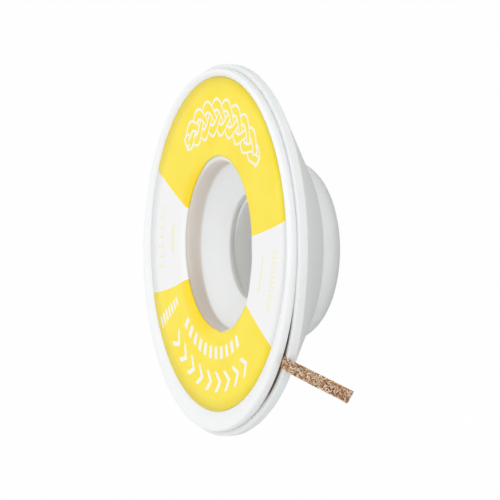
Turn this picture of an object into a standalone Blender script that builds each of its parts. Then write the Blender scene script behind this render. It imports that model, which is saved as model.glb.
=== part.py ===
# Desoldering braid on its plastic bobbin.
# A flat copper braid is wound inside a two-piece white bobbin: a flat front half
# with a printed ring label, and a cone-shaped back half with a rounded hub.
# The free end of the braid comes out through the seam between the two rims.
#
# Units are metres, +Z up. The bobbin lies on its hub end, label up. The origin is
# on the floor, on the axis of both rims. Heights are measured down from the front
# rim's raised lip as depths, because that face is what every other size hangs from.

import math

import bmesh
import bpy
from mathutils import Vector
from mathutils.geometry import interpolate_bezier

MM = 0.001

# Overall
BOBBIN_RADIUS = 21.0 * MM         # rim of the back half
BOBBIN_DEPTH = 12.1 * MM          # lip of the front rim to hub end
BORE_RADIUS = 6.1 * MM            # finger or peg hole through both halves
HOLE_OFFSET = 0.5 * MM            # front half's hole, seat and core sit this much towards +Y of its rim

# Clearances
SEAT_GAP = 0.3 * MM               # between parts that rest on each other inside
SEAM_GAP = 0.1 * MM               # closed seam between the two rims
LABEL_GAP = 0.1 * MM              # label to its seat
BRAID_GAP = 0.06 * MM             # braid to the front rim, where it is nipped in the seam

# Front half
RIM_STEP = 0.5 * MM               # the back rim stands out past the front rim
SEAM_DEPTH = 1.0 * MM             # lip to the seam face
FRONT_THICKNESS = 1.5 * MM        # lip to the inner face at the core, from where it slopes up to the seam
FRONT_RIM_ROUND = 0.4 * MM
FRONT_RIM_DRAFT = 0.1 * MM        # the edge leans in towards the seam
LIP_WIDTH = 1.35 * MM             # rim outside the label's seat
LIP_SLOPE = 0.2 * MM              # the lip's inner side leans back this much
HOLE_RADIUS = 9.5 * MM            # wide mouth of the centre hole
HOLE_ROUND = 0.8 * MM             # soft edge that the label follows into the hole
HOLE_DEPTH = 2.4 * MM             # bottom of the straight wall, where the funnel starts
FUNNEL_DEPTH = 2.2 * MM           # from the hole's wall down to the bore
FUNNEL_WALL = 0.8 * MM
BORE_LIP = 0.6 * MM               # short straight bore below the funnel
CORE_WALL = 0.6 * MM              # tube that the braid is wound on

# Back half
BACK_WALL = 0.9 * MM
RIM_BACK_DEPTH = 2.15 * MM        # back edge of the rim
RIM_ROUND = 0.2 * MM
RIM_LEDGE = 1.7 * MM              # width of the rim's flat face in the seam
CONE_FOOT_RADIUS = 11.3 * MM      # small end of the cone
CONE_FOOT_DEPTH = 8.4 * MM
HUB_RADIUS = 10.5 * MM
HUB_ROUND_RADIAL = 3.7 * MM
HUB_ROUND_DEPTH = 3.9 * MM
HUB_INNER_ROUND = 2.4 * MM
PEG_TUBE_WALL = 0.9 * MM
BORE_EDGE = 0.2 * MM              # chamfer where the bore leaves the hub

# Label
LABEL_HOLE_RADIUS = 9.9 * MM
LABEL_THICKNESS = 0.1 * MM
LABEL_OFFSET = 0.2 * MM           # stuck this much off the seat's centre, towards +Y
LABEL_SINK = 0.35 * MM            # lip down to the label's printed face
LABEL_EDGE_GAP = 0.1 * MM         # least gap from the label's edge to the raised lip

# Braid
BRAID_WIDTH = 1.5 * MM
BRAID_THICKNESS = 0.3 * MM
TURN_PITCH = 0.34 * MM            # one layer of the winding, with its slack
LANE_SPACING = 0.05 * MM
TURNS_PER_LANE = (9, 8, 3)        # front lane first: about 1.5 m in all
TURN_EDGE = 0.06 * MM             # rounded edge of each turn, seen on the ends of the coil

# Seam opening where the braid comes out, and the free end
SEAM_OPENING = 0.50 * MM          # the braid holds the back rim away from the front one by this much
OPEN_ANGLE = math.radians(-43)    # middle of the opened stretch of rim
OPEN_HALF_ANGLE = math.radians(35)
FLEX_RADIUS = 13.0 * MM           # the back half's cone bends outside this radius
EXIT_ANGLE = math.radians(-37.2)
TAIL_HEADING = math.radians(-23.5)   # direction of the free end, seen from the front
TAIL_DROP = math.radians(24)      # and how far it falls towards the hub
TAIL_LENGTH = 10.5 * MM
TAIL_BEND = 1.0 * MM              # it turns down over the back rim within about this length
TAIL_ROLL = math.radians(25)      # twist of the free end by its tip
LEAVE_ANGLE = math.radians(-80)   # where the braid leaves the coil
TWIST_SHARE = 0.7                 # it lies flat for the seam after this share of its way out

# Fineness of the meshes
SHELL_SEGMENTS = 64
COIL_SEGMENTS = 36
ARC_STEPS = 5
TAIL_STEPS = 14

# Derived depths and radii
FRONT_RADIUS = BOBBIN_RADIUS - RIM_STEP
seat_depth = LABEL_SINK + LABEL_THICKNESS + LABEL_GAP
seat_radius = FRONT_RADIUS - LIP_WIDTH
label_radius = seat_radius - LABEL_OFFSET - LABEL_EDGE_GAP
rim_top_depth = SEAM_DEPTH + SEAM_GAP
rim_inner = BOBBIN_RADIUS - RIM_LEDGE
core_radius = HOLE_RADIUS + CORE_WALL
funnel_end_depth = HOLE_DEPTH + FUNNEL_DEPTH
bore_lip_depth = funnel_end_depth + BORE_LIP
cone_slope = (BOBBIN_RADIUS - RIM_ROUND - CONE_FOOT_RADIUS) / (CONE_FOOT_DEPTH - RIM_BACK_DEPTH)
cone_wall_depth = BACK_WALL * math.hypot(1, cone_slope) / cone_slope
shoulder_depth = CONE_FOOT_DEPTH - BACK_WALL
coil_radius = core_radius + SEAT_GAP
coil_depth = FRONT_THICKNESS + SEAT_GAP
braid_seam_depth = SEAM_DEPTH + BRAID_GAP + BRAID_THICKNESS / 2


def inner_cone_depth(radius):
    """Depth of the back half's inner cone face at a radius."""
    outer = RIM_BACK_DEPTH + (BOBBIN_RADIUS - RIM_ROUND - radius) / cone_slope
    return outer - cone_wall_depth


def inner_cone_radius(depth):
    """Radius of the back half's inner cone face at a depth."""
    return BOBBIN_RADIUS - RIM_ROUND - cone_slope * (depth + cone_wall_depth - RIM_BACK_DEPTH)


def arc(centre, radii, start, end, steps=ARC_STEPS):
    """Points of a quarter arc in a (radius, depth) profile, from one angle to another."""
    points = []
    for step in range(steps + 1):
        angle = math.radians(start + (end - start) * step / steps)
        points.append((centre[0] + radii[0] * math.cos(angle), centre[1] + radii[1] * math.sin(angle)))
    return points


def clear_scene():
    for old in list(bpy.data.objects):
        bpy.data.objects.remove(old, do_unlink=True)


def material(name, colour, roughness, metallic=0.0):
    finish = bpy.data.materials.new(name)
    finish.use_nodes = True
    shader = finish.node_tree.nodes["Principled BSDF"]
    shader.inputs["Base Color"].default_value = (*colour, 1.0)
    shader.inputs["Roughness"].default_value = roughness
    shader.inputs["Metallic"].default_value = metallic
    finish.diffuse_color = (*colour, 1.0)
    return finish


def add_object(name, bm, finish):
    """Close a bmesh into a shaded object that faces outwards."""
    bmesh.ops.recalc_face_normals(bm, faces=bm.faces)
    mesh = bpy.data.meshes.new(name)
    bm.to_mesh(mesh)
    bm.free()
    mesh.materials.append(finish)
    mesh.shade_smooth()
    mesh.set_sharp_from_angle(angle=math.radians(35))
    part = bpy.data.objects.new(name, mesh)
    bpy.context.scene.collection.objects.link(part)
    return part


def turned(profile, segments):
    """Spin a closed (radius, depth) outline about the axis into a ring-shaped solid."""
    bm = bmesh.new()
    corners = [bm.verts.new((radius, 0, BOBBIN_DEPTH - depth)) for radius, depth in profile]
    edges = [bm.edges.new((corners[i - 1], corners[i])) for i in range(len(corners))]
    bmesh.ops.spin(bm, geom=corners + edges, cent=(0, 0, 0), axis=(0, 0, 1),
                   angle=math.tau, steps=segments, use_merge=True)
    return bm


def shift_inside(bm, radius):
    """Move the rings inside a radius towards +Y, off the rim's centre."""
    for vertex in bm.verts:
        if math.hypot(vertex.co.x, vertex.co.y) < radius:
            vertex.co.y += HOLE_OFFSET


def open_rim(bm):
    """Bend the cone and rim down where the braid comes out, from the flex radius to the rim."""
    for vertex in bm.verts:
        radius = math.hypot(vertex.co.x, vertex.co.y)
        reach = min(1, (radius - FLEX_RADIUS) / (rim_inner - FLEX_RADIUS))
        turn = math.remainder(math.atan2(vertex.co.y, vertex.co.x) - OPEN_ANGLE, math.tau)
        if reach > 0 and abs(turn) < OPEN_HALF_ANGLE:
            swell = math.cos(turn / OPEN_HALF_ANGLE * math.pi / 2) ** 2
            vertex.co.z -= SEAM_OPENING * reach * swell


def front_shell(finish):
    """Disc, centre hole, funnel and the core tube that carries the winding."""
    funnel_slope = FUNNEL_DEPTH / (HOLE_RADIUS - BORE_RADIUS)
    funnel_back_depth = HOLE_DEPTH + FUNNEL_WALL * math.hypot(1, funnel_slope)
    bore_wall_radius = BORE_RADIUS + FUNNEL_WALL
    lip_crest = seat_radius + LIP_SLOPE
    rim_round = (FRONT_RIM_ROUND, FRONT_RIM_ROUND)
    profile = [
        *arc((HOLE_RADIUS + HOLE_ROUND, seat_depth + HOLE_ROUND), (HOLE_ROUND, HOLE_ROUND), 180, 270),
        (seat_radius, seat_depth),
        (lip_crest, 0),
        *arc((FRONT_RADIUS - FRONT_RIM_ROUND, FRONT_RIM_ROUND), rim_round, -90, 0),
        (FRONT_RADIUS - FRONT_RIM_DRAFT, SEAM_DEPTH),
        (rim_inner, SEAM_DEPTH),
        (core_radius, FRONT_THICKNESS),
        (core_radius, shoulder_depth - SEAT_GAP),
        (HOLE_RADIUS, shoulder_depth - SEAT_GAP),
        (HOLE_RADIUS, funnel_back_depth),
        (bore_wall_radius, funnel_back_depth + funnel_slope * (HOLE_RADIUS - bore_wall_radius)),
        (bore_wall_radius, bore_lip_depth),
        (BORE_RADIUS, bore_lip_depth),
        (BORE_RADIUS, funnel_end_depth),
        (HOLE_RADIUS, HOLE_DEPTH),
    ]
    bm = turned(profile, SHELL_SEGMENTS)
    shift_inside(bm, (lip_crest + FRONT_RADIUS - FRONT_RIM_ROUND) / 2)
    return add_object("front_shell", bm, finish)


def back_shell(finish):
    """Rim, cone, rounded hub and the peg tube inside it."""
    round_centre = (HUB_RADIUS - HUB_ROUND_RADIAL, BOBBIN_DEPTH - HUB_ROUND_DEPTH)
    outer_round = arc(round_centre, (HUB_ROUND_RADIAL, HUB_ROUND_DEPTH), 0, 90, steps=8)
    inside_radius = HUB_RADIUS - BACK_WALL
    floor_depth = BOBBIN_DEPTH - BACK_WALL
    inner_centre = (inside_radius - HUB_INNER_ROUND, floor_depth - HUB_INNER_ROUND)
    tube_radius = BORE_RADIUS + PEG_TUBE_WALL
    profile = [
        (rim_inner, rim_top_depth),
        *arc((BOBBIN_RADIUS - RIM_ROUND, rim_top_depth + RIM_ROUND), (RIM_ROUND, RIM_ROUND), -90, 0, steps=3),
        (BOBBIN_RADIUS - RIM_ROUND, RIM_BACK_DEPTH),
        (CONE_FOOT_RADIUS, CONE_FOOT_DEPTH),
        (HUB_RADIUS, CONE_FOOT_DEPTH),
        *outer_round[1:],
        (BORE_RADIUS + BORE_EDGE, BOBBIN_DEPTH),
        (BORE_RADIUS, BOBBIN_DEPTH - BORE_EDGE),
        (BORE_RADIUS, bore_lip_depth + SEAT_GAP),
        (tube_radius, bore_lip_depth + SEAT_GAP),
        (tube_radius, floor_depth),
        *arc(inner_centre, (HUB_INNER_ROUND, HUB_INNER_ROUND), 90, 0),
        (inside_radius, shoulder_depth),
        (inner_cone_radius(shoulder_depth), shoulder_depth),
        (rim_inner, inner_cone_depth(rim_inner)),
    ]
    bm = turned(profile, SHELL_SEGMENTS)
    open_rim(bm)
    return add_object("back_shell", bm, finish)


def label(finish):
    """Printed film ring in the front disc's shallow seat."""
    bottom = LABEL_SINK + LABEL_THICKNESS
    profile = [(LABEL_HOLE_RADIUS, LABEL_SINK), (label_radius, LABEL_SINK),
               (label_radius, bottom), (LABEL_HOLE_RADIUS, bottom)]
    ring = add_object("label", turned(profile, SHELL_SEGMENTS), finish)
    ring.location.y = HOLE_OFFSET + LABEL_OFFSET
    return ring


def braid_coil(finish):
    """The winding as one turned solid. Each turn shows as a ridge on the ends of its lane."""
    profile = []
    for lane in range(len(TURNS_PER_LANE)):
        turns = TURNS_PER_LANE[lane]
        next_turns = TURNS_PER_LANE[lane + 1] if lane + 1 < len(TURNS_PER_LANE) else 0
        top = coil_depth + lane * (BRAID_WIDTH + LANE_SPACING)
        bottom = top + BRAID_WIDTH
        if lane == 0:
            for turn in range(turns):
                inside = coil_radius + turn * TURN_PITCH
                profile += [(inside, top + TURN_EDGE), (inside + TURN_PITCH / 2, top)]
        else:
            profile.append((coil_radius + turns * TURN_PITCH, top))
        profile.append((coil_radius + turns * TURN_PITCH, top + TURN_EDGE))
        for turn in range(turns, next_turns, -1):
            outside = coil_radius + turn * TURN_PITCH
            profile += [(outside, bottom - TURN_EDGE), (outside - TURN_PITCH / 2, bottom)]
    profile.append((coil_radius, bottom - TURN_EDGE))
    coil = add_object("braid_coil", turned(profile, COIL_SEGMENTS), finish)
    coil.location.y = HOLE_OFFSET
    return coil


def tail_path():
    """Centres, tangents and roll angles of the braid from the coil to its cut tip."""
    coil_outside = coil_radius + TURNS_PER_LANE[0] * TURN_PITCH
    leave_radius = coil_outside + SEAT_GAP + BRAID_THICKNESS / 2

    def around(centre_y, radius, angle, depth):
        return Vector((radius * math.cos(angle), centre_y + radius * math.sin(angle), BOBBIN_DEPTH - depth))

    leave = around(HOLE_OFFSET, leave_radius, LEAVE_ANGLE, coil_depth + BRAID_WIDTH / 2)
    leave_way = Vector((-math.sin(LEAVE_ANGLE), math.cos(LEAVE_ANGLE), 0))
    out = around(0, FRONT_RADIUS, EXIT_ANGLE, braid_seam_depth)
    out_way = Vector((math.cos(TAIL_HEADING), math.sin(TAIL_HEADING), 0))
    free_way = out_way * math.cos(TAIL_DROP) - Vector((0, 0, math.sin(TAIL_DROP)))
    tip = out + free_way * TAIL_LENGTH

    inside_reach = (out - leave).length / 3
    inside = interpolate_bezier(leave, leave + leave_way * inside_reach,
                                out - out_way * inside_reach, out, TAIL_STEPS + 1)
    free = interpolate_bezier(out, out + out_way * TAIL_BEND,
                              tip - free_way * TAIL_LENGTH / 2, tip, TAIL_STEPS + 1)
    centres = inside[:-1] + free
    stations = []
    for number, centre in enumerate(centres):
        before = centres[max(number - 1, 0)]
        after = centres[min(number + 1, len(centres) - 1)]
        if number < TAIL_STEPS:
            share = min(1, number / (TWIST_SHARE * TAIL_STEPS))
            roll = math.pi / 2 * (1 + math.cos(math.pi * share)) / 2
        else:
            roll = TAIL_ROLL * (number - TAIL_STEPS) / TAIL_STEPS
        stations.append((centre, (after - before).normalized(), roll))
    return stations


def braid_tail(finish):
    """Flat ribbon from the coil out through the seam. It turns a quarter before the rim."""
    half_width = BRAID_WIDTH / 2
    half_thickness = BRAID_THICKNESS / 2
    edge = BRAID_THICKNESS / 4
    outline = [(half_width, half_thickness - edge), (half_width - edge, half_thickness),
               (edge - half_width, half_thickness), (-half_width, half_thickness - edge),
               (-half_width, edge - half_thickness), (edge - half_width, -half_thickness),
               (half_width - edge, -half_thickness), (half_width, edge - half_thickness)]
    bm = bmesh.new()
    rings = []
    for centre, along, roll in tail_path():
        side = along.cross(Vector((0, 0, 1))).normalized()
        rise = side.cross(along)
        across = side * math.cos(roll) + rise * math.sin(roll)
        through = across.cross(along)
        rings.append([bm.verts.new(centre + across * x + through * y) for x, y in outline])
    for lower, upper in zip(rings, rings[1:]):
        for i in range(len(outline)):
            bm.faces.new((lower[i - 1], lower[i], upper[i], upper[i - 1]))
    bm.faces.new(rings[0])
    bm.faces.new(rings[-1])
    return add_object("braid_tail", bm, finish)


def main():
    clear_scene()
    front_shell(material("front_plastic", (0.83, 0.85, 0.86), 0.38))
    back_shell(material("back_plastic", (0.80, 0.82, 0.82), 0.42))
    label(material("label_print", (0.95, 0.72, 0.10), 0.5))
    braid_coil(material("braid_copper", (0.62, 0.33, 0.20), 0.35, metallic=1.0))
    braid_tail(material("tail_copper", (0.68, 0.38, 0.24), 0.32, metallic=1.0))


main()
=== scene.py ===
# %% [markdown]
# # A roll of desoldering braid
# Flat copper braid, 1.5 mm wide and 1.5 m long, is wound inside a small white bobbin
# about 42 mm across. The bobbin is two mouldings: a flat front half with a ring label,
# and a cone-shaped back half with a rounded hub. The free end comes out at the rim.
# This lesson dresses the plain solids, which stay the truth for size and place.
# Each step says what the real piece is, and why it is made the way it is.

# %% Load the solid frame
import math

import bmesh
import bpy
from mathutils import Matrix, Vector
from mathutils.geometry import interpolate_bezier


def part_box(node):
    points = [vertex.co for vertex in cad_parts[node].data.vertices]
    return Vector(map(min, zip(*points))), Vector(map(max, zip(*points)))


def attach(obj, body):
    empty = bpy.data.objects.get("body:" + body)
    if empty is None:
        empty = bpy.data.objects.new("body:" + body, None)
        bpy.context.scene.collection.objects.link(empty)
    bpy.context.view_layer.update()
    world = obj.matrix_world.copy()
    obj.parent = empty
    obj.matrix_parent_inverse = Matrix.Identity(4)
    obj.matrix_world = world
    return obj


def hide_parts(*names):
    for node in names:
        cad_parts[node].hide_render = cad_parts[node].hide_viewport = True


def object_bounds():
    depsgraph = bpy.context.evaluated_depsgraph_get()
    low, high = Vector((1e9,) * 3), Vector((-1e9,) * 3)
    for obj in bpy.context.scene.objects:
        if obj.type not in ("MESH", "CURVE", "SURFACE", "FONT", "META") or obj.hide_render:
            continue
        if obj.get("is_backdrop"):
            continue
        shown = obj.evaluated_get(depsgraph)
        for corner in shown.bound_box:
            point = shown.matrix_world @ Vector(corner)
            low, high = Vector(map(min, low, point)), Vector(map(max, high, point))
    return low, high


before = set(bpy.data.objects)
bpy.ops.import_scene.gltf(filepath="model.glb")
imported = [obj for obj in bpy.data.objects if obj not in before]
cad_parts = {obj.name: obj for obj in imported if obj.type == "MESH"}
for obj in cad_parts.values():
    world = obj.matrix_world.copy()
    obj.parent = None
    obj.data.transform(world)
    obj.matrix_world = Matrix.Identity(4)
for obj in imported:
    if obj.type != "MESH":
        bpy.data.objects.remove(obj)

cad_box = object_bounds()
print("solids:", sorted(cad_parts))

# %% [markdown]
# ## Sizes
# Everything hangs from the front rim's raised lip. Heights are counted down from it as
# depths, the way a toolmaker would read the drawing. The outer sizes are read from the
# solids, so the dressed pieces can't drift from them. The walls inside are named here.

# %% Sizes read from the solids, and the walls between them
MM = 0.001


def spread(node, axis):
    """Size and middle of a solid along one axis."""
    low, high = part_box(node)
    return high[axis] - low[axis], (high[axis] + low[axis]) / 2


FACE_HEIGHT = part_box("front_shell")[1][2]
LABEL_DEPTH = FACE_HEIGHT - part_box("label")[1][2]
BACK_RADIUS = spread("back_shell", 0)[0] / 2
FRONT_RADIUS = spread("front_shell", 0)[0] / 2
HOLE_OFFSET = spread("braid_coil", 1)[1]
LABEL_RADIUS = spread("label", 0)[0] / 2
LABEL_CENTRE = spread("label", 1)[1]
print(f"back rim {BACK_RADIUS * 2000:.1f} mm, front rim {FRONT_RADIUS * 2000:.1f} mm across")
print(f"hole {HOLE_OFFSET * 1000:.2f} mm and label {LABEL_CENTRE * 1000:.2f} mm off the rim's centre")

# %% [markdown]
# ## Camera
# The photograph looks across the label from its right-hand side, 24 degrees above the
# plane of the disc, and the camera lies on its side so that the disc stands upright in
# the picture. The lines of the real photograph hardly converge, which means a long
# lens from far away. So the distance is a full metre, and the lens length follows from
# how many millimetres the picture has to cover.

# %% Camera
VIEW_ELEVATION = math.radians(24.0)
VIEW_ROLL = math.radians(0.3)
VIEW_DISTANCE = 1.0
PICTURE_WIDTH = 56.45 * MM
AIM = Vector((0, 0.03 * MM, 7.71 * MM))


def into_scene(name, data):
    """Make an object and put it into the scene."""
    thing = bpy.data.objects.new(name, data)
    bpy.context.scene.collection.objects.link(thing)
    return thing


back_way = Vector((math.cos(VIEW_ELEVATION), 0, math.sin(VIEW_ELEVATION)))
right_way = Vector((math.sin(VIEW_ELEVATION), 0, -math.cos(VIEW_ELEVATION)))
up_way = Vector((0, 1, 0))
roll = Matrix.Rotation(VIEW_ROLL, 3, back_way)
axes = Matrix((roll @ right_way, roll @ up_way, back_way)).transposed()

camera_data = bpy.data.cameras.new("camera")
camera_data.sensor_width = 36
camera_data.lens = camera_data.sensor_width * VIEW_DISTANCE / PICTURE_WIDTH
camera_data.clip_start = 0.01
camera_data.clip_end = 20
camera = into_scene("camera", camera_data)
camera.matrix_world = Matrix.Translation(AIM + back_way * VIEW_DISTANCE) @ axes.to_4x4()
bpy.context.scene.camera = camera
print(f"lens {camera_data.lens:.0f} mm at {VIEW_DISTANCE:.1f} m")

# %% [markdown]
# ## Adding nodes
# Shader trees and geometry trees are both wired here with the same helpers. `add` makes
# a node, fills in its inputs and links whatever is already a socket, and `output` gives
# back the new node's first output at once. `connect` ends a tree: it links its results.

# %% Adding nodes
def add(tree, kind, inputs=(), **settings):
    """Add a node. inputs maps socket names or numbers to values or to output sockets."""
    node = tree.nodes.new(kind)
    for name, value in settings.items():
        setattr(node, name, value)
    for key, value in dict(inputs).items():
        if isinstance(value, bpy.types.NodeSocket):
            tree.links.new(value, node.inputs[key])
        else:
            node.inputs[key].default_value = value
    return node


def output(tree, kind, inputs=(), **settings):
    """Add a node and return its first output."""
    return add(tree, kind, inputs, **settings).outputs[0]


def connect(inputs, **sources):
    """Link sockets to a node's inputs by name, with _ for a space in the name."""
    for name, source in sources.items():
        source.id_data.links.new(source, inputs[name.replace("_", " ")])


print("helpers for trees: add, output, connect")

# %% [markdown]
# ## Sums and masks
# A pattern is a sum over coordinates, one Math node for each step. With these helpers
# it reads like the formula it is. The tree needn't be named, because every socket knows
# the tree that it belongs to. A mask is a number from 0 to 1 that says where something
# is, so `times` gives the overlap of two masks and `either` gives both together.

# %% Sums and masks
def calc(operation, *values):
    """One Math node, in the tree that its first socket belongs to."""
    tree = next(value.id_data for value in values if isinstance(value, bpy.types.NodeSocket))
    return output(tree, "ShaderNodeMath", dict(enumerate(values)), operation=operation)


def chained(operation):
    """A function that runs one Math operation over any number of values."""
    def run(*values):
        result = values[0]
        for value in values[1:]:
            result = calc(operation, result, value)
        return result
    return run


plus, minus, times, divided, either = map(chained, ("ADD", "SUBTRACT", "MULTIPLY", "DIVIDE", "MAXIMUM"))


def size_of(value):
    """The value without its sign."""
    return calc("ABSOLUTE", value)


def inverse(mask):
    """1 where the mask is 0, and 0 where it is 1."""
    return minus(1.0, mask)


def ramp(value, low, high):
    """Smooth 0 to 1 as the value goes from low to high."""
    return add(value.id_data, "ShaderNodeMapRange", {"Value": value, "From Min": low, "From Max": high},
               interpolation_type="SMOOTHSTEP").outputs["Result"]


def off(angle, centre):
    """Signed angle in degrees from a centre direction."""
    return calc("WRAP", minus(angle, centre), 180.0, -180.0)


def blend_colour(share, first, second):
    """Mix two colours. A colour may be a socket or an (r, g, b) value."""
    first, second = [(*c, 1) if isinstance(c, tuple) else c for c in (first, second)]
    return add(share.id_data, "ShaderNodeMix", {0: share, 6: first, 7: second}, data_type="RGBA").outputs[2]


def noise(place, scale, detail, **more):
    """Smooth noise from 0 to 1 at a place."""
    values = {"Vector": place, "Scale": scale, "Detail": detail, **more}
    return output(place.id_data, "ShaderNodeTexNoise", values)


print("a ring's angle of 190 degrees wraps to", (190 + 180) % 360 - 180)

# %% [markdown]
# ## Groups and materials
# A pattern that several finishes share is a node group with named inputs and outputs,
# so each material can place it with its own values. Every material is one Principled
# shader. What stays the same all over is set on its sockets, and the rest is linked.

# %% Groups and materials
def new_group(name, inputs, outputs):
    """A shader node group. inputs maps names to starting values, outputs maps names to kinds."""
    tree = bpy.data.node_groups.new(name, "ShaderNodeTree")
    for label, value in inputs.items():
        socket = tree.interface.new_socket(name=label, in_out="INPUT", socket_type="NodeSocketFloat")
        socket.default_value = value
    for label, kind in outputs.items():
        tree.interface.new_socket(name=label, in_out="OUTPUT", socket_type="NodeSocket" + kind)
    print("group", name, "gives", list(outputs))
    return tree, tree.nodes.new("NodeGroupInput").outputs, tree.nodes.new("NodeGroupOutput").inputs


def use_group(tree, group, inputs=()):
    """Place a shader group, fill in its inputs, and return its outputs."""
    return add(tree, "ShaderNodeGroup", inputs, node_tree=group).outputs


def new_material(name, **constants):
    """A Principled material whose constant values are set on its own sockets."""
    finish = bpy.data.materials.new(name)
    finish.use_nodes = True
    shader = finish.node_tree.nodes["Principled BSDF"]
    for label, value in constants.items():
        shader.inputs[label.replace("_", " ")].default_value = value
    print("material", name)
    return finish, finish.node_tree, shader


def stored_number(tree, name):
    """A number that the mesh keeps under a name."""
    return add(tree, "ShaderNodeAttribute", attribute_name=name).outputs["Fac"]


def link_bump(shader, height, strength, distance):
    """Let a height pattern tilt the surface without moving it."""
    values = {"Height": height, "Strength": strength, "Distance": distance}
    connect(shader.inputs, Normal=output(shader.id_data, "ShaderNodeBump", values))


print("helpers for shaders: new_group, use_group, new_material, stored_number, link_bump")

# %% [markdown]
# ## Round coordinates
# Almost every finish on a turned part follows its circles: printing, turning lines,
# the shade inside the hole. So one group turns the object's own coordinates into a
# radius, a depth and an angle about a chosen axis, in millimetres and degrees.

# %% Shader group: round coordinates
round_group, given, result = new_group(
    "round_coordinates", {"Centre Y": 0.0, "Face Height": FACE_HEIGHT * 1000},
    {"Radius": "Float", "Angle": "Float", "Depth": "Float"})
place = add(round_group, "ShaderNodeTexCoord").outputs["Object"]
metres = add(round_group, "ShaderNodeSeparateXYZ", {0: place}).outputs
x_mm, y_mm, z_mm = [times(part, 1000.0) for part in metres]
y_mm = minus(y_mm, given["Centre Y"])
squares = plus(times(x_mm, x_mm), times(y_mm, y_mm))
turn = calc("DEGREES", calc("ARCTAN2", y_mm, x_mm))
connect(result, Radius=calc("SQRT", squares), Angle=turn, Depth=minus(given["Face Height"], z_mm))

# %% [markdown]
# ## Moulded plastic
# Cheap white polystyrene isn't one flat white. The steel mould leaves a faint orange
# peel, the gloss drifts where the skin cooled at different speeds, and fingers leave a
# trace of grey. One group gives all three, and each half places it with its own values.

# %% Shader group: moulded skin
skin_group, given, result = new_group(
    "moulded_skin", {"Peel Size": 0.5, "Gloss Drift": 0.06, "Roughness": 0.38},
    {"Height": "Float", "Roughness": "Float", "Dirt": "Float"})
place = add(skin_group, "ShaderNodeTexCoord").outputs["Object"]
peel_scale = divided(1000.0, given["Peel Size"])
peel = noise(place, peel_scale, 3.0)
smear = noise(place, 420.0, 4.0, Roughness=0.6, Distortion=0.8)
swing = times(minus(noise(place, 160.0, 2.0), 0.5), given["Gloss Drift"])
connect(result, Height=peel, Roughness=plus(given["Roughness"], swing), Dirt=ramp(smear, 0.52, 0.78))

# %% [markdown]
# ## The plastic of each half
# The front half carries the winding on a thin tube, and thin white plastic lets the
# copper behind it show through as a warm grey. So its colour follows the radius and
# the depth: warm and darker on the hole's wall, partly the copper showing through and
# partly painted shade, with more painted shade on its lower side, cool and clean on
# the disc. The circles that the mould's lathe cut are a fine wave along the radius.
# The back half's base is a little darker, as painted shade on its cone, and its hub is
# painted paler, as painted light, with painted shade on its lower side. In the seam
# where the braid comes out lies a brown painted shade, a product of three masks: near
# in angle, radius and depth. Each bore is painted a grey shade.

# %% Material: plastic
BORE = 6.1
RIM_EDGE = 20.35
LOW_SIDE = -110.0
BRAID_SIDE = -38.0
DUST = (0.45, 0.43, 0.40)
TURNING_PITCH = 0.18


def plastic(name, colour, painted_band_colour, painted_band, painted_bore_shade, centre, roughness, painted_seam_shade=None):
    """White moulded plastic. The band colour fills a band given by a radius and two depths:
    partly copper showing through, partly painted light and shade, with more painted shade
    on its lower side. The bore's grey is painted shade, and so is the brown in the seam
    where the braid comes out."""
    finish, tree, shader = new_material(name, IOR=1.52, Subsurface_Weight=0.5, Subsurface_Scale=0.0009)
    shader.inputs["Subsurface Radius"].default_value = (1.0, 0.9, 0.8)
    ring = use_group(tree, round_group, {"Centre Y": centre})
    skin = use_group(tree, skin_group, {"Roughness": roughness})
    # The band's colour is painted light and shade: on the front half's hole wall it is painted shade,
    # partly the copper showing through, and on the back half's hub it is painted light.
    reach, top, bottom = painted_band
    inside = inverse(ramp(ring["Radius"], reach - 0.1, reach + 0.1))
    below = ramp(ring["Depth"], top, top + 0.5)
    above = inverse(ramp(ring["Depth"], bottom - 0.15, bottom + 0.12))
    glow = times(inside, below, above)
    tint = blend_colour(glow, colour, painted_band_colour)
    # Painted shade on the lower side of the band.
    low_side = inverse(ramp(size_of(off(ring["Angle"], LOW_SIDE)), 25.0, 85.0))
    tint = blend_colour(times(low_side, glow, 0.6), tint, tuple(c ** 2 for c in painted_band_colour))
    # Painted shade: the bore is painted grey.
    in_bore = inverse(ramp(ring["Radius"], BORE + 0.03, BORE + 0.15))
    tint = blend_colour(in_bore, tint, painted_bore_shade)
    if painted_seam_shade:
        # Painted shade in the seam where the braid comes out, in brown.
        near = inverse(ramp(size_of(off(ring["Angle"], BRAID_SIDE)), 12.0, 21.0))
        in_seam = inverse(ramp(ring["Radius"], RIM_EDGE - 0.1, RIM_EDGE + 0.1))
        on_ledge = inverse(ramp(ring["Depth"], 1.5, 1.6))
        tint = blend_colour(times(near, in_seam, on_ledge), tint, painted_seam_shade)
    tint = blend_colour(times(skin["Dirt"], 0.05), tint, DUST)
    connect(shader.inputs, Base_Color=tint, Roughness=skin["Roughness"])
    lathe = calc("SINE", times(ring["Radius"], math.tau / TURNING_PITCH))
    link_bump(shader, plus(skin["Height"], times(lathe, 0.12)), 0.25, 0.00002)
    return finish


front_plastic = plastic("front_plastic", (0.89, 0.905, 0.91), (0.76, 0.70, 0.64),
                        (9.75, 0.25, 2.45), (0.77, 0.77, 0.75), HOLE_OFFSET * 1000, 0.34)
# The back half's base is darker than the front's, as painted shade on its cone; its band paints the hub
# paler, as painted light, with painted shade on the lower side.
back_plastic = plastic("back_plastic", (0.84, 0.86, 0.86), (0.92, 0.95, 0.945),
                       (10.8, 7.9, 13.0), (0.89, 0.90, 0.88), 0.0, 0.40, (0.30, 0.21, 0.12))

# %% [markdown]
# ## Turned shapes
# Both halves and the label are turned shapes: one outline, spun about the axis. The
# outline is a short list of corners, each with how far it is cut back for its round
# edge. Real moulded edges are never sharp, and it is those small rounds that catch
# the light, so they are real geometry and not bump.

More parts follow.
